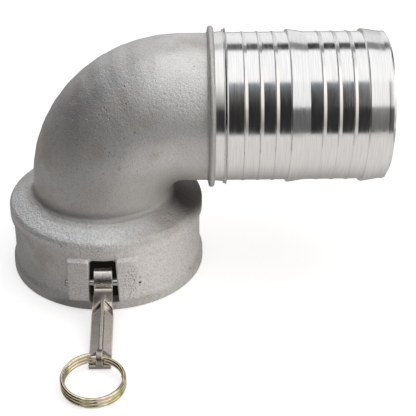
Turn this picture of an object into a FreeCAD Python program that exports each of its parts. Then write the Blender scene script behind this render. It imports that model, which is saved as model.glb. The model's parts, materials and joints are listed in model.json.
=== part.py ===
import FreeCAD, Part
import math
import os

# Camlock coupling, nominal 4 inch: a female cam-and-groove coupler on a 90 degree elbow with a hose shank.
# Origin: centre of the mouth rim, on the plane the coupler stands on. +X runs along the hose shank,
# +Z up through the mouth, and the two cam arms open towards -Y and +Y. Millimetres.

V = FreeCAD.Vector
ORIGIN = V(0, 0, 0)
AXIS_X = V(1, 0, 0)
AXIS_Y = V(0, 1, 0)
AXIS_Z = V(0, 0, 1)

# Coupler head
BORE_R = 60.15          # mouth that takes a 119.8 mm adapter
BEAD_R = 69.2
BEAD_TOP = 8.2
WALL_R = 67.0
WALL_BOTTOM = 11.0
WALL_TOP = 38.5
BAND_R = 68.9
BAND_BOTTOM = 42.5
SHOULDER_Z = 53.0
SHOULDER_ROUND = 5.0
NECK_Z = 62.5
NECK_FILLET = 3.5
GROOVE_R = 62.2         # recess that holds the gasket
GASKET_ROOF = 53.0

# Gasket
GASKET_INNER_R = 50.8
GASKET_OUTER_R = 61.9
GASKET_THICK = 6.35
GASKET_GAP = 0.05

# Elbow
PIPE_R = 50.6
PASSAGE_R = 46.0
SHANK_AXIS_Z = 121.9
BEND_R = 55.4
BEND_Z = SHANK_AXIS_Z - BEND_R
FLANGE_X = 72.9
FLANGE_END = 77.0
FLANGE_R = 55.5
COUNTERBORE_R = 48.4
COUNTERBORE_X = 60.0

# Hose shank
SPIGOT_LENGTH = 16.8
COLLAR_R = 51.5
COLLAR_END = 83.0
LIP_R = 53.8
LIP_END = 85.4
SHANK_R = 50.8
SHANK_END = 195.3
BARB_PITCH = 10.25
BARB_GROUP_X = (95.7, 146.8)    # first small barb of each group
BARBS_PER_GROUP = 3
SMALL_BARB_R = 51.3
SMALL_BARB_LENGTH = 2.6
BIG_BARB_R = 52.6
BIG_BARB_LENGTH = 12.5
CREST_LAND = 0.6
END_ROUND = 2.0

# Ears, windows and pivot pins
EAR_FACE_Y = 72.0
EAR_SIDE_X = 24.5
EAR_SIDE_Y = 69.4
EAR_BOTTOM = 9.4
EAR_TOP = 41.5
WINDOW_BOTTOM = 6.3
WINDOW_TOP = 39.8
WINDOW_HALF_TOP = 8.7
WINDOW_HALF_BOTTOM = 10.3
WINDOW_ROUND = 2.4
PIN_R = 3.175
PIN_LENGTH = 52.6
PIN_Y = 65.4
PIN_Z = 21.5
PIN_CLEARANCE = 0.06

# Cam arm, drawn with the pin at the origin, the lever along -Y and the lobe up
ARM_SLOPE = 15.2
HEAD_WIDTH = 12.7
BARREL_R = 5.8
LOBE_TIP_R = 4.0
LOBE_TIP_Y = 2.2
LOBE_TIP_Z = 6.0
FRONT_R = 14.0          # round of the head's front, which runs from the crease into the lobe's tip
FRONT_Y = 6.84
FRONT_Z = -2.86
TOP_FACE_Z = 0.7
CREASE = 6.7
LEVER_END = 71.3
LEVER_END_Z = -2.85
LEVER_WIDTH = 14.7
NECK_WIDTH = 13.0
RIB_WIDTH = 2.3
PANEL_Z = -1.6
EYE_Y = 65.9
EYE_Z = 3.05
EYE_R = 5.4
EYE_HOLE_R = 3.9
EYE_WIDTH = 4.2
BAR_THICK = 2.6
BORE_RELIEF = 0.2        # the open arm's back is flat, this far outside the mouth

# Pull ring, two turns of wire
WIRE_R = 1.3
RING_R = 19.6
RING_TILT = 5.0
RING_SIDE = -3.0
RING_OFFSET = 1.4


def revolve_z(points):
    """Solid of revolution about Z from (radius, z) corners."""
    corners = [V(r, 0, z) for r, z in points]
    face = Part.Face(Part.makePolygon(corners + corners[:1]))
    return face.revolve(ORIGIN, AXIS_Z, 360)


def revolve_x(points):
    """Solid of revolution about the shank axis from (x, radius) corners."""
    corners = [V(x, 0, SHANK_AXIS_Z + r) for x, r in points]
    face = Part.Face(Part.makePolygon(corners + corners[:1]))
    return face.revolve(V(0, 0, SHANK_AXIS_Z), AXIS_X, 360)


def bend_shell():
    """Hollow quarter turn from the upright pipe to the level one."""
    centre = V(0, 0, BEND_Z)
    rings = [Part.Wire(Part.makeCircle(radius, centre, AXIS_Z)) for radius in (PIPE_R, PASSAGE_R)]
    section = Part.Face(rings[0]).cut(Part.Face(rings[1])).Faces[0]
    return section.revolve(V(BEND_R, 0, BEND_Z), AXIS_Y, 90)


def box(x0, x1, y0, y1, z0, z1):
    return Part.makeBox(x1 - x0, y1 - y0, z1 - z0, V(x0, y0, z0))


def both_sides(shape):
    """The front shape and a copy of it turned round to the rear."""
    rear = shape.copy()
    rear.rotate(ORIGIN, AXIS_Z, 180)
    return shape, rear


def coupler_shell():
    """Turned shape of the head: mouth, gasket recess and roof inside, bead and shoulder outside."""
    recess_bottom = GASKET_ROOF - GASKET_THICK - 3 * GASKET_GAP
    shell = revolve_z([
        (BORE_R, 0), (BEAD_R - 0.6, 0), (BEAD_R, 0.6), (BEAD_R, BEAD_TOP),
        (WALL_R + 0.5, BEAD_TOP + 1.0), (WALL_R, WALL_BOTTOM), (WALL_R, WALL_TOP),
        (BAND_R - 0.3, BAND_BOTTOM), (BAND_R, BAND_BOTTOM + 3), (BAND_R, SHOULDER_Z),
        (PIPE_R, NECK_Z), (PIPE_R, BEND_Z), (PASSAGE_R, BEND_Z), (PASSAGE_R, GASKET_ROOF),
        (GROOVE_R, GASKET_ROOF), (GROOVE_R, recess_bottom), (BORE_R, recess_bottom)])
    rounds = {
        (BEAD_R, BEAD_TOP): 1.6, (WALL_R, WALL_BOTTOM): 1.5, (WALL_R, WALL_TOP): 4.0,
        (BAND_R - 0.3, BAND_BOTTOM): 1.2, (BAND_R, SHOULDER_Z): SHOULDER_ROUND,
        (PIPE_R, NECK_Z): NECK_FILLET}
    for (radius, height), size in rounds.items():
        shell = shell.makeFillet(size, [circle_edge(shell, radius, height)])
    return shell


def circle_edge(shape, radius, height):
    """The round edge of a shape about Z with this radius at this height."""
    for edge in shape.Edges:
        if not isinstance(edge.Curve, Part.Circle):
            continue
        if abs(edge.Curve.Radius - radius) < 0.01 and abs(edge.Curve.Center.z - height) < 0.01:
            return edge
    raise ValueError("no round edge at radius %.2f, height %.2f" % (radius, height))


def ear_pad():
    """Raised pad across the front that holds the pin on both sides of the window."""
    back_y = 4.0 - BORE_R
    left = V(-EAR_SIDE_X, -EAR_SIDE_Y, EAR_BOTTOM)
    right = V(EAR_SIDE_X, -EAR_SIDE_Y, EAR_BOTTOM)
    front = Part.Arc(left, V(0, -EAR_FACE_Y, EAR_BOTTOM), right).toShape()
    sides = Part.makePolygon([right, V(EAR_SIDE_X, back_y, EAR_BOTTOM),
                              V(-EAR_SIDE_X, back_y, EAR_BOTTOM), left])
    base = Part.Face(Part.Wire([front] + sides.Edges))
    pad = base.extrude(V(0, 0, EAR_TOP - EAR_BOTTOM))
    outer_edges = [e for e in pad.Edges if e.CenterOfMass.y < 0.1 - EAR_SIDE_Y]
    mouth = Part.makeCylinder(BORE_R, 100)
    return pad.makeFillet(1.3, outer_edges).cut([window(EAR_TOP + 8), mouth])


def window(top):
    """Slot through the wall that the cam head works in."""
    corners = [V(-WINDOW_HALF_BOTTOM, 0, WINDOW_BOTTOM), V(WINDOW_HALF_BOTTOM, 0, WINDOW_BOTTOM),
               V(WINDOW_HALF_TOP, 0, top), V(-WINDOW_HALF_TOP, 0, top)]
    outline = Part.Face(Part.makePolygon(corners + corners[:1]))
    slot = outline.extrude(V(0, -30, 0))
    slot.translate(V(0, 10 - BORE_R, 0))
    long_edges = [e for e in slot.Edges if abs(e.tangentAt(e.FirstParameter).y) > 0.99]
    return slot.makeFillet(WINDOW_ROUND, long_edges)


def pin_rod(radius, length):
    return Part.makeCylinder(radius, length, V(-length / 2, -PIN_Y, PIN_Z), AXIS_X)


def outlet_shell():
    """Level end of the elbow: the seat for the shank's spigot and the rough cast ring round its mouth."""
    return revolve_x([
        (BEND_R, PASSAGE_R), (BEND_R, PIPE_R), (FLANGE_X, PIPE_R), (FLANGE_X, FLANGE_R - 1.2),
        (FLANGE_X + 1.1, FLANGE_R), (FLANGE_END - 1.1, FLANGE_R), (FLANGE_END, FLANGE_R - 1.2),
        (FLANGE_END, COUNTERBORE_R), (COUNTERBORE_X, COUNTERBORE_R), (COUNTERBORE_X, PASSAGE_R)])


def coupler_head():
    """Turned head with its two pairs of ears, cam windows and pin holes."""
    head = coupler_shell()
    for pad in both_sides(ear_pad()):
        head = head.fuse(pad)
    for slot in both_sides(window(WINDOW_TOP)):
        head = head.cut(slot)
    for hole in both_sides(pin_rod(PIN_R, PIN_LENGTH + 12)):
        head = head.cut(hole)
    return head


def elbow_body():
    elbow = bend_shell().fuse(outlet_shell())
    return coupler_head().fuse(elbow).removeSplitter()


def barb(x, crest_r, length, foot_r=SHANK_R):
    """Corners of one saw tooth: a step that faces the flange and a long taper towards the hose end."""
    return [(x, foot_r), (x, crest_r), (x + CREST_LAND, crest_r), (x + length, foot_r)]


def hose_shank():
    spigot_x = FLANGE_END - SPIGOT_LENGTH
    points = [(spigot_x, PASSAGE_R), (spigot_x, COUNTERBORE_R), (FLANGE_END, COUNTERBORE_R),
              (FLANGE_END, COLLAR_R), (COLLAR_END, COLLAR_R), (COLLAR_END, LIP_R),
              (LIP_END, LIP_R), (LIP_END, SHANK_R)]
    for group_x in BARB_GROUP_X:
        for index in range(BARBS_PER_GROUP):
            points += barb(group_x + index * BARB_PITCH, SMALL_BARB_R, SMALL_BARB_LENGTH)
        points += barb(group_x + BARBS_PER_GROUP * BARB_PITCH, BIG_BARB_R, BIG_BARB_LENGTH)
    points += [(SHANK_END, SHANK_R), (SHANK_END, PASSAGE_R + 1.2), (SHANK_END - 2.4, PASSAGE_R)]
    shank = revolve_x(points)
    rim = [e for e in shank.Edges if abs(e.CenterOfMass.x - SHANK_END) < 0.01
           and abs(e.BoundBox.ZLength / 2 - SHANK_R) < 0.01]
    return shank.makeFillet(END_ROUND, rim)


def gasket():
    top = GASKET_ROOF - GASKET_GAP
    return revolve_z([(GASKET_INNER_R, top), (GASKET_OUTER_R, top), (GASKET_OUTER_R, top - GASKET_THICK),
                      (GASKET_INNER_R, top - GASKET_THICK)])


def cam_head():
    """Barrel round the pin, and above it the lobe with its rounded front."""
    start = V(-HEAD_WIDTH / 2, 0, 0)
    barrel = Part.makeCylinder(BARREL_R, HEAD_WIDTH, start, AXIS_X)
    front = start + V(0, FRONT_Y, FRONT_Z)
    tip = start + V(0, LOBE_TIP_Y, LOBE_TIP_Z)
    crease = start + V(0, -CREASE, TOP_FACE_Z)
    touch = front + (tip - front).normalize() * FRONT_R
    middle = front + (crease + touch - front * 2).normalize() * FRONT_R
    top = tip + V(0, 1, 1).normalize() * LOBE_TIP_R
    back = tip + V(0, LOBE_TIP_R, 0)
    low = start + V(0, BARREL_R - 0.05, 0.5)
    outline = [Part.Arc(crease, middle, touch).toShape(), Part.Arc(touch, top, back).toShape(),
               Part.makeLine(back, low), Part.makeLine(low, crease)]
    lobe = Part.Face(Part.Wire(outline)).extrude(V(HEAD_WIDTH, 0, 0))
    return barrel.fuse(lobe)


def lever_blank():
    """Tapered lever from the barrel to the end bar, neck narrower than the blade."""
    half = LEVER_WIDTH / 2
    side = [V(-half, 0, TOP_FACE_Z), V(-half, 0, -BARREL_R + 0.1), V(-half, -LEVER_END + 1, LEVER_END_Z),
            V(-half, -LEVER_END, LEVER_END_Z + 0.8), V(-half, -LEVER_END + 0.6, TOP_FACE_Z)]
    blank = Part.Face(Part.makePolygon(side + side[:1])).extrude(V(LEVER_WIDTH, 0, 0))
    neck = NECK_WIDTH / 2
    head = HEAD_WIDTH / 2
    for sign in (-1, 1):
        corners = [V(sign * head, 8, -20), V(sign * head, -4, -20), V(sign * neck, -19, -20),
                   V(sign * half, -27, -20), V(sign * (half + 9), -27, -20), V(sign * (half + 9), 8, -20)]
        blank = blank.cut(Part.Face(Part.makePolygon(corners + corners[:1])).extrude(V(0, 0, 40)))
    return blank


def panel_recess(sign):
    """Sunk panel beside the rib, with slanting ends that narrow to the rib."""
    rib = RIB_WIDTH / 2
    edge = LEVER_WIDTH / 2 + 1
    floor = [V(sign * rib, -20, PANEL_Z), V(sign * edge, -29.5, PANEL_Z),
             V(sign * edge, -62.5, PANEL_Z), V(sign * rib, -56, PANEL_Z)]
    mouth = [V(sign * (rib - 0.3), -14.2, 2), V(sign * edge, -23.5, 2),
             V(sign * edge, -69.5, 2), V(sign * (rib - 0.3), -62.5, 2)]
    wires = [Part.makePolygon(corners + corners[:1]) for corners in (floor, mouth)]
    return Part.makeLoft(wires, True, True)


def cam_arm():
    """Arm in its own frame, then swung down about the pin to where its end meets the ground plane."""
    arm = cam_head().fuse(lever_blank())
    for sign in (-1, 1):
        arm = arm.cut(panel_recess(sign))
    eye = Part.makeCylinder(EYE_R, EYE_WIDTH, V(-EYE_WIDTH / 2, -EYE_Y, EYE_Z), AXIS_X)
    arm = arm.fuse(eye)
    half = LEVER_WIDTH / 2 - 0.1
    bar = box(-half, half, -LEVER_END + 0.5, -LEVER_END + 0.5 + BAR_THICK, LEVER_END_Z + 0.6, TOP_FACE_Z)
    arm = arm.fuse(bar)
    finger = Part.makeCylinder(EYE_HOLE_R, 40, V(-20, -EYE_Y, EYE_Z), AXIS_X)
    arm = arm.cut(finger)
    arm = arm.cut(Part.makeCylinder(PIN_R + PIN_CLEARANCE, 40, V(-20, 0, 0), AXIS_X))
    arm.rotate(ORIGIN, AXIS_X, ARM_SLOPE)
    arm.translate(V(0, -PIN_Y, PIN_Z))
    mouth = box(-HEAD_WIDTH, HEAD_WIDTH, -BORE_R - BORE_RELIEF, 0, 0, EAR_TOP)
    return arm.cut(mouth).removeSplitter()


def eye_centre():
    slope = math.radians(ARM_SLOPE)
    y = -EYE_Y * math.cos(slope) - EYE_Z * math.sin(slope)
    z = -EYE_Y * math.sin(slope) + EYE_Z * math.cos(slope)
    return V(0, y - PIN_Y, z + PIN_Z)


def pull_ring():
    """Split ring hanging in the eye, its far side raised in the hole and its near side on the ground."""
    reach = math.sqrt(RING_R ** 2 - RING_SIDE ** 2) + RING_OFFSET
    turns = [Part.makeTorus(RING_R, WIRE_R, V(RING_SIDE, -reach, height), AXIS_Z)
             for height in (-WIRE_R + 0.05, WIRE_R - 0.05)]
    ring = turns[0].fuse(turns[1])
    ring.rotate(ORIGIN, AXIS_X, RING_TILT)
    ring.translate(eye_centre())
    return ring


def export(name, shape):
    shape.exportStep("parts/%s.step" % name)


def main():
    os.makedirs("parts", exist_ok=True)
    export("elbow_body", elbow_body())
    export("hose_shank", hose_shank())
    export("gasket", gasket())
    moving = {"pivot_pin": pin_rod(PIN_R, PIN_LENGTH), "cam_arm": cam_arm(), "pull_ring": pull_ring()}
    for name, shape in moving.items():
        front, rear = both_sides(shape)
        export(name + "_front", front)
        export(name + "_rear", rear)


main()
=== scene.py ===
import json
import math

import bmesh
import bpy
from mathutils import Matrix, Vector, noise


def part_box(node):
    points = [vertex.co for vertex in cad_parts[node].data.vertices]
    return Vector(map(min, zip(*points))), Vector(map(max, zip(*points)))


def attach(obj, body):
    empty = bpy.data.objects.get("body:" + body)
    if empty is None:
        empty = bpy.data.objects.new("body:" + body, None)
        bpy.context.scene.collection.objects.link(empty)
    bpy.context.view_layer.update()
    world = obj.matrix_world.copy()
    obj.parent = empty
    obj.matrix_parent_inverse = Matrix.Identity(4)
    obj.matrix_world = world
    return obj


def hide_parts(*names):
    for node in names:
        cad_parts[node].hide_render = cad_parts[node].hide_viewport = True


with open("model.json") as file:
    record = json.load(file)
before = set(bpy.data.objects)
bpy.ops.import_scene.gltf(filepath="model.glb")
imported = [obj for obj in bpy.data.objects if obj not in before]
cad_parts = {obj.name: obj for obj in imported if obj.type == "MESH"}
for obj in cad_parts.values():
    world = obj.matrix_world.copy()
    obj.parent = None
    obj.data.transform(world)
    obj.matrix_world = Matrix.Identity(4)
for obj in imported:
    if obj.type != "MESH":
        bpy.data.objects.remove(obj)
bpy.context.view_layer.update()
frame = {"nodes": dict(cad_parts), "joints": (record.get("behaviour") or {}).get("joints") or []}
MM = 0.001


# ---------------------------------------------------------------- camera, light and floor

CAMERA_TARGET = Vector((73.273, 0, 39.792)) * MM
CAMERA_DISTANCE = 847.06 * MM
CAMERA_AZIMUTH = math.radians(-1.486)
CAMERA_ELEVATION = math.radians(31.575)
CAMERA_ROLL = math.radians(0.021)
CAMERA_LENS = 100.815


def make_camera():
    level = math.cos(CAMERA_ELEVATION)
    back = Vector((math.sin(CAMERA_AZIMUTH) * level, -math.cos(CAMERA_AZIMUTH) * level,
                   math.sin(CAMERA_ELEVATION)))
    right = Vector((math.cos(CAMERA_AZIMUTH), math.sin(CAMERA_AZIMUTH), 0))
    turn = Matrix((right, back.cross(right), back)).transposed().to_4x4()
    data = bpy.data.cameras.new("camera")
    data.lens = CAMERA_LENS
    data.sensor_width = 36
    data.clip_start = 0.02
    data.clip_end = 100
    camera = bpy.data.objects.new("camera", data)
    camera.matrix_world = (Matrix.Translation(CAMERA_TARGET + back * CAMERA_DISTANCE) @ turn
                           @ Matrix.Rotation(CAMERA_ROLL, 4, "Z"))
    bpy.context.scene.collection.objects.link(camera)
    bpy.context.scene.camera = camera


class Nodes:
    """A node tree being built. Each call adds a node and returns the output that the next one takes."""

    def __init__(self, tree):
        self.tree = tree
        tree.nodes.clear()

    def add(self, kind, inputs=None, **settings):
        node = self.tree.nodes.new(kind)
        for key, value in settings.items():
            setattr(node, key, value)
        for key, value in (inputs or {}).items():
            if isinstance(value, bpy.types.NodeSocket):
                self.tree.links.new(value, node.inputs[key])
            else:
                node.inputs[key].default_value = value
        return node

    def math(self, operation, *values):
        return self.add("ShaderNodeMath", dict(enumerate(values)), operation=operation).outputs[0]

    def step(self, value, low, high, start=0.0, end=1.0):
        """start below low, end above high, and a smooth change between them."""
        inputs = {"Value": value, "From Min": low, "From Max": high, "To Min": start, "To Max": end}
        return self.add("ShaderNodeMapRange", inputs, interpolation_type="SMOOTHSTEP").outputs["Result"]

    def mix(self, factor, first, second):
        return self.add("ShaderNodeMix", {0: factor, 6: first, 7: second}, data_type="RGBA").outputs[2]

    def noise(self, vector, scale, detail=2.0, rough=0.5, warp=0.0):
        inputs = {"Vector": vector, "Scale": scale, "Detail": detail, "Roughness": rough,
                  "Distortion": warp}
        return self.add("ShaderNodeTexNoise", inputs).outputs["Fac"]

    def spots(self, vector, scale):
        """Distance to the nearest of many scattered points, in cells."""
        return self.add("ShaderNodeTexVoronoi", {"Vector": vector, "Scale": scale}).outputs["Distance"]

    def place(self):
        """Where a point of the surface is, in the piece's own metres."""
        return self.add("ShaderNodeTexCoord").outputs["Object"]

    def stretch(self, vector, scale):
        return self.add("ShaderNodeMapping", {"Vector": vector, "Scale": scale}).outputs[0]

    def split(self, vector):
        return self.add("ShaderNodeSeparateXYZ", {0: vector}).outputs

    def bump(self, height, distance, normal=None):
        inputs = {"Height": height, "Distance": distance, "Strength": 1.0}
        if normal is not None:
            inputs["Normal"] = normal
        return self.add("ShaderNodeBump", inputs).outputs[0]


def grey(value):
    return (value, value, value, 1.0)


# Studio light, as seen from the object. Tilts are degrees round the X axis: 0 is the front horizon,
# 90 overhead and 180 the back horizon. Each column of light ends at an x of the direction's unit vector.
COLUMN_BLEND = 0.07
HAZE = (0.20, 0.225, 0.26)
WARM = (1.06, 1.0, 0.94)
WHITE = (1.0, 1.0, 1.0)
LOWEST_TILT = -100.0
LIGHT_COLUMNS = (
    (-0.75, WHITE, ((0, 0.0),)),
    (-0.45, WHITE, ((55, 0.0), (75, 0.07), (115, 0.08), (130, 0.27), (160, 0.34), (180, 0.20),
                    (190, 0.0))),
    (-0.15, WHITE, ((-62, 0.0), (-55, 0.75), (-20, 0.75), (-12, 0.01), (20, 0.02), (33, 0.55), (50, 0.90),
                    (80, 0.92), (105, 1.22), (130, 1.00), (150, 0.90), (170, 0.62), (185, 0.0))),
    (0.0, WHITE, ((-62, 0.0), (-55, 0.75), (-20, 0.75), (-12, 0.04), (20, 0.05), (40, 0.35), (62, 1.07),
                  (118, 1.07), (125, 0.60), (136, 0.60), (140, 0.85), (160, 0.80), (190, 0.50),
                  (200, 0.2))),
    (0.21, WHITE, ((-62, 0.0), (-55, 0.75), (-20, 0.75), (-16, 0.02), (30, 0.022), (48, 0.08),
                   (61.3, HAZE), (63.7, 1.06), (120.3, 1.06), (122.7, 0.03), (137.3, 0.03), (139.7, 0.92),
                   (160, 0.98), (190, 0.85), (205, 0.6))),
    (0.50, WHITE, ((-62, 0.0), (-55, 0.66), (-20, 0.66), (-16, 0.12), (22, 0.13), (25, 0.95), (61, 0.97),
                   (64, 1.06), (119, 1.04), (123, 0.25), (136, 0.25), (140, 0.85), (160, 0.80), (180, 0.50),
                   (190, 0.0))),
    (1.01, WARM, ((-62, 0.0), (-55, 0.70), (-20, 0.70), (-5, 0.45), (16, 0.74), (34, 0.94), (52, 1.12),
                  (85, 1.25), (107, 0.50), (130, 0.12), (150, 0.26), (170, 0.36), (190, 0.0))),
)
SEEN_BACKGROUND = 0.92


def make_world():
    """A dark room with an overhead softbox, a pale backdrop behind and a warm panel at the right."""
    world = bpy.data.worlds.new("studio")
    bpy.context.scene.world = world
    world.use_nodes = True
    n = Nodes(world.node_tree)
    x, y, z = n.split(n.add("ShaderNodeTexCoord").outputs["Generated"])
    tilt = n.math("DEGREES", n.math("ARCTAN2", z, n.math("MULTIPLY", y, -1.0)))
    past_back = n.math("LESS_THAN", tilt, LOWEST_TILT)
    turned = n.math("SUBTRACT", n.math("ADD", tilt, n.math("MULTIPLY", past_back, 360.0)), LOWEST_TILT)
    along = n.math("DIVIDE", turned, 360.0)
    light = None
    start = None
    for end, tint, stops in LIGHT_COLUMNS:
        column = light_column(n, along, tint, stops)
        if light is None:
            light = column
        else:
            light = n.mix(n.step(x, start - COLUMN_BLEND, start + COLUMN_BLEND), light, column)
        start = end
    seen = n.add("ShaderNodeLightPath").outputs["Is Camera Ray"]
    light = n.mix(seen, light, grey(SEEN_BACKGROUND))
    shown = n.add("ShaderNodeBackground", {"Color": light, "Strength": 1.0})
    n.add("ShaderNodeOutputWorld", {"Surface": shown.outputs[0]})


def light_column(n, along, tint, stops):
    """Brightness by tilt, straight from stop to stop."""
    node = n.add("ShaderNodeValToRGB", {0: along})
    ramp = node.color_ramp
    ramp.interpolation = "LINEAR"
    while len(ramp.elements) > 1:
        ramp.elements.remove(ramp.elements[0])
    for index, (tilt, light) in enumerate(stops):
        place = (tilt - LOWEST_TILT) / 360
        stop = ramp.elements[0] if index == 0 else ramp.elements.new(place)
        stop.position = place
        shade = light if isinstance(light, tuple) else (light, light, light)
        stop.color = tuple(value * part for value, part in zip(shade, tint)) + (1.0,)
    return node.outputs["Color"]


def product(n, first, *others):
    for other in others:
        first = n.math("MULTIPLY", first, other)
    return first


TABLE_FRONT = -0.33
TABLE_SIDE = 1.2
TABLE_BACK = 1.6
TABLE_COLOUR = (0.60, 0.585, 0.57, 1.0)
GLOW_X = (-0.07, 0.06, 0.30, 0.40)
GLOW_Y = (-0.70, -0.50, -0.09, 0.05)
TABLE_GLOW = 0.58
FLOOR_REACH = 20.0
MOUTH_R = 61.0 * MM
FLOOR_GLOW = 0.62


def window(n, value, limits):
    """1 between the middle two limits and 0 outside the outer two."""
    rise = n.step(value, limits[0], limits[1])
    return n.math("MULTIPLY", rise, n.step(value, limits[2], limits[3], 1.0, 0.0))


def floor_material(name, colour, glow, patch=None):
    """Matte and pale, with a near-black painted shadow where the mouth covers it. The glow is even, or kept
    to a patch of X and Y.
    """
    made, n = start_material(name)
    place = n.place()
    shade = n.mix(n.noise(place, 3.0), colour, [0.98 * value for value in colour[:3]] + [1.0])
    out = n.add("ShaderNodeVectorMath", {0: place}, operation="LENGTH").outputs["Value"]
    # Painted shadow: colour and glow go near black inside the mouth's radius.
    shade = n.mix(n.step(out, MOUTH_R - MM, MOUTH_R), (0.01, 0.009, 0.008, 1.0), shade)
    shine = glow
    if patch:
        x, y = n.split(place)[:2]
        shine = product(n, window(n, x, patch[0]), window(n, y, patch[1]), glow)
    inputs = {"Base Color": shade, "Roughness": 0.7, "Specular IOR Level": 0.0,
              "Emission Color": shade, "Emission Strength": shine}
    shader = n.add("ShaderNodeBsdfPrincipled", inputs)
    n.add("ShaderNodeOutputMaterial", {0: shader.outputs[0]})
    return made


def flat_piece(name, x_range, y_range, z, material):
    corners = [(x_range[0], y_range[0], z), (x_range[1], y_range[0], z),
               (x_range[1], y_range[1], z), (x_range[0], y_range[1], z)]
    mesh = bpy.data.meshes.new(name)
    mesh.from_pydata(corners, [], [(0, 1, 2, 3)])
    mesh.materials.append(material)
    made = bpy.data.objects.new(name, mesh)
    bpy.context.scene.collection.objects.link(made)
    return made


def make_floor():
    """The pale floor that the camera sees, and a table just under it that lights the object from below."""
    reach = (-FLOOR_REACH, FLOOR_REACH)
    floor = flat_piece("floor", reach, reach, 0.0, floor_material("pale_floor", grey(0.90), FLOOR_GLOW))
    floor.visible_diffuse = False
    floor.visible_glossy = False
    floor.visible_shadow = False
    table = flat_piece("table", (-TABLE_SIDE, TABLE_SIDE), (TABLE_FRONT, TABLE_BACK), -0.5 * MM,
                       floor_material("warm_table", TABLE_COLOUR, TABLE_GLOW, (GLOW_X, GLOW_Y)))
    table.visible_camera = False


# ---------------------------------------------------------------- mesh helpers


def finish_mesh(name, mesh, body, node, material, sharp=None):
    """Puts a mesh in the scene as the piece that stands for a CAD node."""
    piece = bpy.data.objects.new(name, mesh)
    bpy.context.scene.collection.objects.link(piece)
    mesh.materials.clear()
    mesh.materials.append(material)
    mesh.shade_smooth()
    if sharp is not None:
        mesh.set_sharp_from_angle(angle=math.radians(sharp))
    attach(piece, body)
    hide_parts(node)
    return piece


def rounded(corners, steps=4):
    """Closed outline from (along, radius, rounding) corners, with each corner cut by an arc."""
    points = []
    for index, (along, radius, size) in enumerate(corners):
        corner = Vector((along, radius))
        if size == 0:
            points.append(corner)
            continue
        back = (Vector(corners[index - 1][:2]) - corner).normalized()
        ahead = (Vector(corners[(index + 1) % len(corners)][:2]) - corner).normalized()
        half = back.angle(ahead) / 2
        centre = corner + (back + ahead).normalized() * size / math.sin(half)
        start = corner + back * size / math.tan(half) - centre
        turn = math.pi - 2 * half
        if start.x * (-ahead).y - start.y * (-ahead).x > 0:
            turn = -turn
        for step in range(steps + 1):
            angle = turn * step / steps
            points.append(centre + Matrix.Rotation(angle, 2) @ start)
    return points


def lathe(name, outline, centre, axis, segments):
    """Turns a closed outline of (along, radius) points about an axis of the frame."""
    along = {"X": Vector((1, 0, 0)), "Z": Vector((0, 0, 1))}[axis]
    side = Vector((0, 1, 0))
    up = along.cross(side)
    vertices = []
    for index in range(segments):
        angle = 2 * math.pi * index / segments
        out = side * math.cos(angle) + up * math.sin(angle)
        vertices += [centre + along * a + out * r for a, r in outline]
    count = len(outline)
    faces = []
    for index in range(segments):
        here = index * count
        there = (index + 1) % segments * count
        for k in range(count):
            after = (k + 1) % count
            faces.append((here + k, here + after, there + after, there + k))
    mesh = bpy.data.meshes.new(name)
    mesh.from_pydata(vertices, [], faces)
    return outward(mesh)


def outward(mesh):
    """Merges the points that meet on an axis and turns every face outwards."""
    made = bmesh.new()
    made.from_mesh(mesh)
    bmesh.ops.remove_doubles(made, verts=made.verts, dist=1e-7)
    bmesh.ops.recalc_face_normals(made, faces=made.faces)
    made.to_mesh(mesh)
    made.free()
    return mesh


# ---------------------------------------------------------------- materials


def start_material(name):
    made = bpy.data.materials.new(name)
    made.use_nodes = True
    return made, Nodes(made.node_tree)


def end_material(n, colour, roughness, normal, metallic=1.0, **constants):
    """Closes a material. constants go straight on the shader's own sockets."""
    inputs = {"Base Color": colour, "Roughness": roughness, "Metallic": metallic, "Normal": normal}
    inputs.update({key.replace("_", " "): value for key, value in constants.items()})
    shader = n.add("ShaderNodeBsdfPrincipled", inputs)
    n.add("ShaderNodeOutputMaterial", {0: shader.outputs[0]})
    return shader


def near(n, value, middle, spread):
    """1 where the value is at the middle, falling to 0 at the spread on either side."""
    away = n.math("ABSOLUTE", n.math("SUBTRACT", value, middle))
    return n.step(away, 0.0, spread, 1.0, 0.0)


# Reflected colours of the casting: the clean metal, its stains, painted light and shade on its front, and
# the marks on it.
METAL_DARK = (0.76, 0.755, 0.75, 1)
METAL_LIGHT = (0.84, 0.837, 0.833, 1)
BLOTCH = (0.66, 0.635, 0.61, 1)
WARM_STAIN = (0.66, 0.60, 0.545, 1)
PIPE_PAINTED_HIGHLIGHT = (0.96, 0.96, 0.955, 1)
WALL_PAINTED_LIGHT = (0.99, 0.975, 0.965, 1)
LEDGE_PAINTED_LIGHT = (0.99, 0.995, 1.0, 1)
BASE_PAINTED_SHADE = (0.58, 0.565, 0.55, 1)
FOOT_PAINTED_SHADE = (0.40, 0.385, 0.37, 1)
BEAD_PAINTED_SHADE = (0.36, 0.335, 0.315, 1)
UNDER_OUTLET_PAINTED_SHADE = (0.085, 0.075, 0.07, 1)
SPECKLE = (0.36, 0.36, 0.37, 1)
MOTTLE = (0.42, 0.41, 0.40, 1)
PIT = (0.10, 0.095, 0.09, 1)
RUST = (0.36, 0.20, 0.09, 1)
HEAD_TOP = (0.055, 0.070)
GRAIN_DEPTH = 0.46 * MM
PIT_DEPTH = 0.25 * MM


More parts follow.
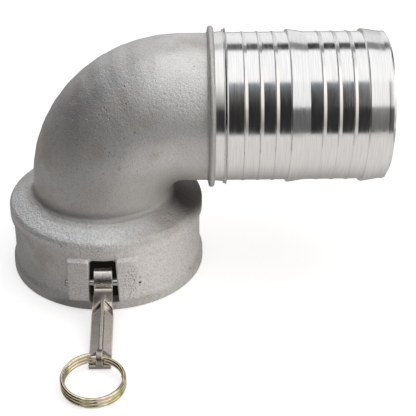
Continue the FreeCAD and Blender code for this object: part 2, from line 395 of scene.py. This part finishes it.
def casting_light_and_shade(n, place, colour):
    """Painted light and shade on the front side: lighter and darker areas set where light and shade fall,
    at places in the body's own metres.
    """
    x, y, z = n.split(place)
    front = n.step(y, -0.01, 0.01, 1.0, 0.0)
    flange = n.math("MULTIPLY", n.step(x, PIPE_END, PIPE_END + MM), n.step(z, 0.13, 0.17, 1.0, 0.0))
    # Painted highlight: the front of the elbow's bend is made lighter.
    pipe = product(n, near(n, z, 0.158, 0.034), near(n, x, 0.060, 0.050),
                   n.step(y, -0.022, -0.008, 1.0, 0.0), n.step(x, PIPE_END, PIPE_END + MM, 1.0, 0.0))
    colour = n.mix(n.step(pipe, 0.0, 0.7), colour, PIPE_PAINTED_HIGHLIGHT)
    # Painted light: the front wall is made lighter, except towards its left.
    wall = product(n, window(n, z, (0.007, 0.013, 0.046, 0.054)), n.step(x, -0.05, -0.01), front)
    colour = n.mix(wall, colour, WALL_PAINTED_LIGHT)
    # Painted shade: the right of the elbow's base and the flange's lower part are made darker.
    base = product(n, near(n, z, 0.080, 0.030), n.step(x, -0.03, 0.03), front)
    base_flange_shade = n.math("MAXIMUM", n.step(base, 0.0, 0.6), flange)
    colour = n.mix(n.math("MULTIPLY", base_flange_shade, 0.55), colour, BASE_PAINTED_SHADE)
    radius = n.math("SQRT", n.math("ADD", n.math("MULTIPLY", x, x), n.math("MULTIPLY", y, y)))
    # Painted light: the front of the shoulder is made lighter towards the left.
    ledge = product(n, n.step(radius, 0.0555, 0.0585), window(n, z, (0.045, 0.050, 0.070, 0.080)), front,
                    n.step(x, 0.0, 0.04, 1.0, 0.0))
    colour = n.mix(ledge, colour, LEDGE_PAINTED_LIGHT)
    # Painted shade: a darker band along the foot of the elbow, where it meets the shoulder.
    foot = product(n, near(n, z, 0.060, 0.012), n.step(radius, 0.0520, 0.0552, 1.0, 0.0), front,
                   n.step(x, 0.01, 0.05, 1.0, 0.0))
    colour = n.mix(n.step(foot, 0.0, 0.8, 0.0, 0.60), colour, FOOT_PAINTED_SHADE)
    # Painted shade: the bead at the bottom is made darker, left of the front.
    bead = product(n, near(n, z, 0.002, 0.009), near(n, x, -0.016, 0.034), front)
    return n.mix(n.step(bead, 0.0, 0.6, 0.0, 0.7), colour, BEAD_PAINTED_SHADE)


def casting_pits(n, place):
    """1 in a pit or a crack. Most are on the elbow's front and on the ear right of the arm."""
    x, y, z = n.split(place)
    side = product(n, near(n, z, 0.125, 0.055), near(n, x, 0.0, 0.065), n.step(y, -0.02, 0.0, 1.0, 0.0))
    patchy = n.step(n.noise(place, 45.0, 2.0), 0.56, 0.66)
    pitted = n.math("MAXIMUM", patchy, n.step(side, 0.15, 0.6, 0.0, 0.8))
    few = n.step(n.noise(place, 150.0, 2.0), 0.52, 0.60)
    pit = product(n, n.step(n.spots(place, 300.0), 0.10, 0.26, 1.0, 0.0), pitted, few)
    lines = near(n, n.noise(place, 240.0, 3.0, 0.6, 1.2), 0.5, 0.03)
    crack = product(n, lines, n.step(side, 0.2, 0.7), n.step(n.noise(place, 110.0), 0.56, 0.64))
    ear = product(n, near(n, y, -0.071, 0.006), near(n, x, 0.019, 0.007), near(n, z, 0.024, 0.020))
    ear_pit = product(n, n.step(n.spots(place, 620.0), 0.16, 0.36, 1.0, 0.0), n.step(ear, 0.0, 0.6))
    return n.math("MAXIMUM", n.math("MAXIMUM", pit, crack), ear_pit)


def rust_specks(n, place):
    """1 in the few specks of rust along the front edge of the shoulder."""
    _, y, z = n.split(place)
    edge = product(n, near(n, z, 0.0500, 0.005), n.step(y, -0.055, -0.035, 1.0, 0.0))
    return product(n, edge, n.step(n.noise(place, 90.0, 2.0), 0.50, 0.62),
                   n.step(n.noise(place, 700.0, 2.0), 0.56, 0.68))


def cast_aluminium():
    """Shot-blasted casting: fine even grain, scattered pits, soft stains and a few specks of rust, with
    painted light and shade on its front and a painted shadow in the corner under the outlet.
    """
    made, n = start_material("cast_aluminium")
    place = n.place()
    x, y, z = n.split(place)
    cloud = n.noise(place, 22.0, 3.0)
    blotch = n.noise(place, 70.0, 4.0, 0.6)
    grain = n.noise(place, 1300.0, 2.0, 0.6)
    coarse = n.noise(place, 560.0, 2.0, 0.6)
    head = n.step(z, HEAD_TOP[0], HEAD_TOP[1], 1.0, 0.0)
    colour = n.mix(n.step(cloud, 0.35, 0.65), METAL_DARK, METAL_LIGHT)
    colour = n.mix(n.step(blotch, 0.55, 0.75, 0.0, 0.5), colour, BLOTCH)
    stain = n.step(n.noise(place, 38.0, 3.0, 0.55), 0.52, 0.68, 0.0, 0.55)
    colour = n.mix(stain, colour, WARM_STAIN)
    colour = casting_light_and_shade(n, place, colour)
    amount = n.math("MULTIPLY_ADD", head, 0.08, 0.40)
    colour = n.mix(n.math("MULTIPLY", n.step(grain, 0.32, 0.50, 1.0, 0.0), amount), colour, SPECKLE)
    amount = n.math("MULTIPLY", head, 0.16)
    colour = n.mix(n.math("MULTIPLY", n.step(coarse, 0.40, 0.60, 1.0, 0.0), amount), colour, MOTTLE)
    pit = casting_pits(n, place)
    colour = n.mix(n.math("MULTIPLY", pit, 0.62), colour, PIT)
    colour = n.mix(n.math("MULTIPLY", rust_specks(n, place), 0.8), colour, RUST)
    # Painted shadow: the corner under the outlet is made near black.
    corner = product(n, near(n, x, 0.062, 0.030), near(n, y, -0.002, 0.052), near(n, z, 0.061, 0.023))
    colour = n.mix(n.step(corner, 0.0, 0.60, 0.0, 0.88), colour, UNDER_OUTLET_PAINTED_SHADE)
    height = n.math("ADD", n.math("MULTIPLY", grain, 0.4), n.math("MULTIPLY", coarse, 0.6))
    height = n.math("MULTIPLY", height, n.math("MULTIPLY_ADD", head, 0.7, 1.0))
    lumps = n.math("MULTIPLY", n.noise(place, 260.0, 2.0, 0.6), n.math("MULTIPLY", head, 1.3))
    normal = n.bump(n.math("ADD", height, lumps), GRAIN_DEPTH)
    normal = n.bump(n.math("SUBTRACT", 1.0, pit), PIT_DEPTH, normal)
    end_material(n, colour, n.step(blotch, 0.3, 0.7, 0.50, 0.60), normal, 0.85)
    return made


def turned_aluminium():
    """Bright turned surface: fine rings of tool marks round the axis."""
    made, n = start_material("turned_aluminium")
    place = n.place()
    marks = n.noise(n.stretch(place, (9000.0, 60.0, 60.0)), 1.0, 2.0, 0.6)
    wide = n.noise(n.stretch(place, (1500.0, 40.0, 40.0)), 1.0, 2.0, 0.6)
    smear = n.noise(n.stretch(place, (300.0, 60.0, 60.0)), 1.0, 3.0, 0.6)
    colour = n.mix(n.step(wide, 0.3, 0.7), (0.80, 0.80, 0.795, 1), (0.94, 0.94, 0.935, 1))
    colour = n.mix(n.math("MULTIPLY", smear, 0.5), colour, (0.87, 0.87, 0.865, 1))
    height = n.math("ADD", n.math("MULTIPLY", marks, 0.4), n.math("MULTIPLY", wide, 0.6))
    normal = n.bump(height, 0.000012)
    roughness = n.step(smear, 0.3, 0.7, 0.10, 0.16)
    around = n.add("ShaderNodeTangent", direction_type="RADIAL", axis="X").outputs[0]
    end_material(n, colour, roughness, normal, 1.0, Anisotropic=0.6, Tangent=around)
    return made


# How far out along the arm, in metres from the mouth's axis, each part of its look reaches.
POLISHED_HEAD = (0.050, 0.054, 0.072, 0.076)
CHAMFERS = (0.076, 0.078, 0.086, 0.089)
PANELS = (0.076, 0.080, 0.121, 0.124)
HOLLOWS = (0.074, 0.084, 0.114, 0.124)
HOLLOW_SLOPE = 0.14
STEEL_DARK = (0.30, 0.275, 0.25, 1)
STEEL_LIGHT = (0.48, 0.445, 0.41, 1)
STEEL_SHADED = (0.16, 0.148, 0.138, 1)
STEEL_WORN_AND_HIGHLIGHT = (0.88, 0.83, 0.77, 1)


def cast_stainless():
    """Investment casting, tumbled: warm grey satin with bright edges from wear and hollow panels on the
    lever.

    The panel on the -x side of the rib has painted shade, and the chamfer on the +x side a painted
    highlight with a smoother finish.
    """
    made, n = start_material("cast_stainless")
    place = n.place()
    x, y, _ = n.split(place)
    out = n.math("ABSOLUTE", y)
    blotch = n.noise(place, 260.0, 3.0, 0.6)
    grain = n.noise(place, 2600.0, 2.0, 0.6)
    dents = n.noise(place, 620.0, 3.0, 0.6)
    wear_and_highlight = n.step(n.add("ShaderNodeNewGeometry").outputs["Pointiness"], 0.506, 0.535)
    wear_and_highlight = n.math("MAXIMUM", wear_and_highlight, window(n, out, POLISHED_HEAD))
    # Painted highlight: the chamfer on the +x side of the rib gets the bright colour of the worn edges.
    chamfer = n.math("MULTIPLY", window(n, out, CHAMFERS), n.step(x, 0.5 * MM, 1.5 * MM))
    wear_and_highlight = n.math("MAXIMUM", wear_and_highlight, chamfer)
    # Painted shade: the panel on the -x side of the rib is made darker.
    shaded = n.math("MULTIPLY", window(n, out, PANELS), n.step(x, -1.5 * MM, -0.5 * MM, 1.0, 0.0))
    colour = n.mix(blotch, STEEL_DARK, STEEL_LIGHT)
    colour = n.mix(n.math("MULTIPLY", shaded, 0.55), colour, STEEL_SHADED)
    colour = n.mix(wear_and_highlight, colour, STEEL_WORN_AND_HIGHLIGHT)
    hollow = n.math("MULTIPLY", n.math("ABSOLUTE", x), window(n, out, HOLLOWS))
    normal = n.bump(dents, 0.12 * MM, n.bump(hollow, HOLLOW_SLOPE))
    normal = n.bump(grain, 0.05 * MM, normal)
    roughness = n.mix(wear_and_highlight, n.mix(blotch, grey(0.20), grey(0.28)), grey(0.16))
    end_material(n, colour, roughness, normal)
    return made


def pin_steel():
    """Drawn steel rod with faint lines along it."""
    made, n = start_material("pin_steel")
    place = n.place()
    lines = n.noise(n.stretch(place, (60.0, 4000.0, 4000.0)), 1.0, 2.0)
    colour = n.mix(lines, (0.62, 0.61, 0.59, 1), (0.74, 0.73, 0.71, 1))
    end_material(n, colour, n.step(lines, 0.3, 0.7, 0.16, 0.26), n.bump(lines, 0.000008))
    return made


def zinc_yellow():
    """Yellow zinc plating: straw to olive and pink where the film's thickness changes."""
    made, n = start_material("zinc_yellow")
    place = n.place()
    film = n.noise(place, 110.0, 2.0, 0.5)
    streak = n.noise(place, 420.0, 2.0, 0.5)
    colour = n.mix(n.step(film, 0.36, 0.54), (0.62, 0.57, 0.30, 1), (0.90, 0.82, 0.66, 1))
    colour = n.mix(n.step(film, 0.56, 0.68), colour, (0.84, 0.64, 0.62, 1))
    colour = n.mix(n.step(streak, 0.52, 0.70, 0.0, 0.5), colour, (0.50, 0.53, 0.24, 1))
    end_material(n, colour, n.step(streak, 0.3, 0.7, 0.07, 0.14), n.bump(streak, 0.00002))
    return made


def black_rubber():
    made, n = start_material("rubber")
    place = n.place()
    bloom = n.noise(place, 60.0, 4.0, 0.6)
    grain = n.noise(place, 2200.0, 2.0, 0.6)
    colour = n.mix(bloom, (0.018, 0.018, 0.019, 1), (0.040, 0.040, 0.042, 1))
    end_material(n, colour, n.step(bloom, 0.3, 0.7, 0.45, 0.60), n.bump(grain, 0.00004), 0.0)
    return made


# ---------------------------------------------------------------- pieces


SHANK_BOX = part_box("hose_shank")
SHANK_AXIS_Z = (SHANK_BOX[0].z + SHANK_BOX[1].z) / 2
SHANK_START = SHANK_BOX[0].x
SHANK_END = SHANK_BOX[1].x
LIP_R = (SHANK_BOX[1].z - SHANK_BOX[0].z) / 2
BODY_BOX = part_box("elbow_body")
FLANGE_END = BODY_BOX[1].x
PASSAGE_R = 46.0 * MM
SPIGOT_R = 48.4 * MM
COLLAR_R = 51.5 * MM
SHANK_R = 50.8 * MM
COLLAR_LENGTH = 6.0 * MM
LIP_LENGTH = 2.4 * MM
BARB_GROUPS = (95.7 * MM, 146.8 * MM)
BARB_PITCH = 10.25 * MM
SMALL_BARB = (0.5 * MM, 2.6 * MM)
BIG_BARB = (1.8 * MM, 12.5 * MM)
CREST_LAND = 0.6 * MM
CREST_ROUND = 0.15 * MM
SHANK_SEGMENTS = 288


def barb(x, height, length):
    """A step that faces the flange, a narrow crest and a long taper."""
    crest = SHANK_R + height
    return [(x, SHANK_R, CREST_ROUND), (x, crest, CREST_ROUND), (x + CREST_LAND, crest, CREST_ROUND),
            (x + length, SHANK_R, 2 * CREST_ROUND)]


def make_shank():
    edge = 0.25 * MM
    end_round = 2 * MM
    end_wall = 1.2 * MM
    end_bevel = 2.4 * MM
    lip_start = FLANGE_END + COLLAR_LENGTH
    lip_end = lip_start + LIP_LENGTH
    corners = [
        (SHANK_START, PASSAGE_R, edge), (SHANK_START, SPIGOT_R, edge), (FLANGE_END, SPIGOT_R, 0),
        (FLANGE_END, COLLAR_R, edge), (lip_start, COLLAR_R, edge), (lip_start, LIP_R, 2 * edge),
        (lip_end, LIP_R, 2 * edge), (lip_end, SHANK_R, edge)]
    for start in BARB_GROUPS:
        for index in range(3):
            corners += barb(start + index * BARB_PITCH, *SMALL_BARB)
        corners += barb(start + 3 * BARB_PITCH, *BIG_BARB)
    corners += [(SHANK_END, SHANK_R, end_round), (SHANK_END, PASSAGE_R + end_wall, edge),
                (SHANK_END - end_bevel, PASSAGE_R, edge)]
    mesh = lathe("shank", rounded(corners), Vector((0, 0, SHANK_AXIS_Z)), "X", SHANK_SEGMENTS)
    material = turned_aluminium()
    piece = finish_mesh("shank", mesh, "coupling_body", "hose_shank", material)
    piece.modifiers.new("even_normals", "WEIGHTED_NORMAL").weight = 50
    return piece


def softened(node, voxel, rounds):
    """A copy of a CAD node in small even faces, with its edges rounded off."""
    piece = bpy.data.objects.new("work", frame["nodes"][node].data.copy())
    bpy.context.scene.collection.objects.link(piece)
    even = piece.modifiers.new("even", "REMESH")
    even.mode = "VOXEL"
    even.voxel_size = voxel
    soft = piece.modifiers.new("soft", "SMOOTH")
    soft.factor = 0.5
    soft.iterations = rounds
    graph = bpy.context.evaluated_depsgraph_get()
    mesh = bpy.data.meshes.new_from_object(piece.evaluated_get(graph))
    bpy.data.objects.remove(piece)
    return mesh


CAST_VOXEL = 0.75 * MM
MACHINED_R = 62.5 * MM
MACHINED_TOP = 53.5 * MM
PIPE_R = 50.6 * MM
BEND_R = 55.4 * MM
BEND_Z = SHANK_AXIS_Z - BEND_R
PIPE_END = FLANGE_END - 4.1 * MM
TRUE_RADII = (67.0 * MM, 68.9 * MM, 69.2 * MM)
TRUE_REACH = (0.15 * MM, 0.35 * MM)
RIM_FLAT = 1.2 * MM
FACE_FLAT = 0.4 * MM
WAVES = ((26.0, 0.16 * MM), (90.0, 0.07 * MM), (330.0, 0.035 * MM))


def pull(place, middle, radius):
    """Moves a point that is almost at a radius from its middle to exactly there."""
    arm = place - middle
    away = radius - arm.length
    close = (TRUE_REACH[1] - abs(away)) / (TRUE_REACH[1] - TRUE_REACH[0])
    return place + arm.normalized() * away * min(max(close, 0), 1)


def made_true(place):
    """A point of the body's mesh, put on the true round of the pipe or the head instead of a flat of it."""
    if place.z < BEND_Z:
        axis = Vector((0, 0, place.z))
        if place.z > MACHINED_TOP:
            for radius in (PIPE_R, PASSAGE_R):
                place = pull(place, axis, radius)
        else:
            for radius in TRUE_RADII:
                place = pull(place, axis, radius)
        return place
    if place.x > BEND_R:
        middle = Vector((place.x, 0, SHANK_AXIS_Z))
    else:
        ray = Vector((place.x - BEND_R, 0, place.z - BEND_Z))
        middle = Vector((BEND_R, 0, BEND_Z)) + ray.normalized() * BEND_R
    if place.x < PIPE_END:
        for radius in (PIPE_R, PASSAGE_R):
            place = pull(place, middle, radius)
    return place


def make_casting():
    """The body with the soft edges and slight waviness of a sand casting, smooth where it is machined."""
    mesh = softened("elbow_body", CAST_VOXEL, 3)
    normals = [v.normal.copy() for v in mesh.vertices]
    for vertex, normal in zip(mesh.vertices, normals):
        place = made_true(vertex.co.copy())
        vertex.co = place
        if place.z < RIM_FLAT or place.x > FLANGE_END - FACE_FLAT:
            continue
        if math.hypot(place.x, place.y) < MACHINED_R and place.z < MACHINED_TOP:
            continue
        lift = sum(size * noise.noise(place * scale) for scale, size in WAVES)
        vertex.co = place + normal * lift
    return finish_mesh("casting", mesh, "coupling_body", "elbow_body", cast_aluminium())


def make_gasket(material):
    low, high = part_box("gasket")
    outer = high.x
    inner = 50.8 * MM
    corner = 0.7 * MM
    seam = 0.15 * MM
    middle = (low.z + high.z) / 2
    corners = [(low.z, inner, corner), (middle - 2 * seam, inner, 0), (middle, inner - seam, 0),
               (middle + 2 * seam, inner, 0), (high.z, inner, corner), (high.z, outer, corner),
               (low.z, outer, corner)]
    mesh = lathe("seal", rounded(corners, 5), Vector((0, 0, 0)), "Z", 192)
    return finish_mesh("seal", mesh, "coupling_body", "gasket", material, 40)


def make_pin(side, material):
    node = "pivot_pin_" + side
    low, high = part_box(node)
    radius = (high.z - low.z) / 2
    corners = [(low.x, 0, 0), (low.x, radius, 0.7 * MM), (high.x, radius, 0.7 * MM), (high.x, 0, 0)]
    centre = Vector((0, (low.y + high.y) / 2, (low.z + high.z) / 2))
    mesh = lathe("pin_" + side, rounded(corners, 6), centre, "X", 48)
    return finish_mesh("pin_" + side, mesh, "coupling_body", node, material, 50)


def make_arm(side, material):
    mesh = softened("cam_arm_" + side, 0.24 * MM, 12)
    return finish_mesh("arm_" + side, mesh, side + "_arm", "cam_arm_" + side, material)


WIRE_R = 1.3 * MM
RING_R = 19.6 * MM
RING_TURNS = 2.78
RING_PITCH = 2.62 * MM
RING_TILT = math.radians(4.6)
RING_SIDE = -3.0 * MM
RING_OFFSET = 1.4 * MM
RING_START = math.radians(99)
STEPS_PER_TURN = 120
DOME_STEPS = 4
DOME_LENGTH = 0.7 * WIRE_R
DOME_ARC = 0.93 * math.pi / 2


def joint_place(name):
    for joint in frame["joints"]:
        if joint["name"] == name:
            return Vector(joint["pos_m"])
    raise ValueError("no joint named " + name)


def swept(name, places, sizes, outs, sides=20):
    """Round bar through a row of places, each with its own radius and outward direction."""
    vertices = []
    for index, (place, size, out) in enumerate(zip(places, sizes, outs)):
        ahead = places[min(index + 1, len(places) - 1)] - places[max(index - 1, 0)]
        side = ahead.normalized().cross(out).normalized()
        for k in range(sides):
            angle = 2 * math.pi * k / sides
            vertices.append(place + (out * math.cos(angle) + side * math.sin(angle)) * size)
    faces = []
    for index in range(len(places) - 1):
        for k in range(sides):
            here = index * sides
            after = (k + 1) % sides
            faces.append((here + k, here + after, here + sides + after, here + sides + k))
    faces.append(tuple(range(sides))[::-1])
    faces.append(tuple(len(vertices) - sides + k for k in range(sides)))
    mesh = bpy.data.meshes.new(name)
    mesh.from_pydata(vertices, [], faces)
    return outward(mesh)


def make_ring(side, material):
    """Split ring of nearly three turns, wound through the eye, its near side on the ground."""
    eye = joint_place(side + "_ring_hinge")
    across = Vector((1, 0, 0)) if side == "front" else Vector((-1, 0, 0))
    far = Vector((0, math.cos(RING_TILT), 0)) * across.x + Vector((0, 0, math.sin(RING_TILT)))
    axis = across.cross(far)
    reach = math.sqrt(RING_R ** 2 - RING_SIDE ** 2) + RING_OFFSET
    centre = eye + across * RING_SIDE - far * reach
    steps = round(RING_TURNS * STEPS_PER_TURN)
    places, sizes, outs = [], [], []
    for index in range(-DOME_STEPS, steps + DOME_STEPS + 1):
        over = max(-index, index - steps, 0) / DOME_STEPS
        angle_at = max(0, min(index, steps)) / STEPS_PER_TURN * 2 * math.pi
        extra = math.sin(over * math.pi / 2) * DOME_LENGTH / RING_R
        angle = RING_START + angle_at + (extra if index > 0 else -extra)
        lift = 1.5 * RING_PITCH - RING_PITCH * angle_at / (2 * math.pi)
        out = across * math.cos(angle) + far * math.sin(angle)
        places.append(centre + out * RING_R + axis * lift)
        sizes.append(WIRE_R * math.cos(over * DOME_ARC))
        outs.append(out)
    mesh = swept("ring_" + side, places, sizes, outs)
    node = "pull_ring_" + side
    return finish_mesh("ring_" + side, mesh, side + "_ring", node, material, 60)


def make_pieces():
    make_casting()
    make_shank()
    make_gasket(black_rubber())
    pin, arm, ring = pin_steel(), cast_stainless(), zinc_yellow()
    for side in ("front", "rear"):
        make_pin(side, pin)
        make_arm(side, arm)
        make_ring(side, ring)


bpy.context.scene.view_settings.view_transform = "Standard"
make_camera()
make_world()
make_floor()
make_pieces()
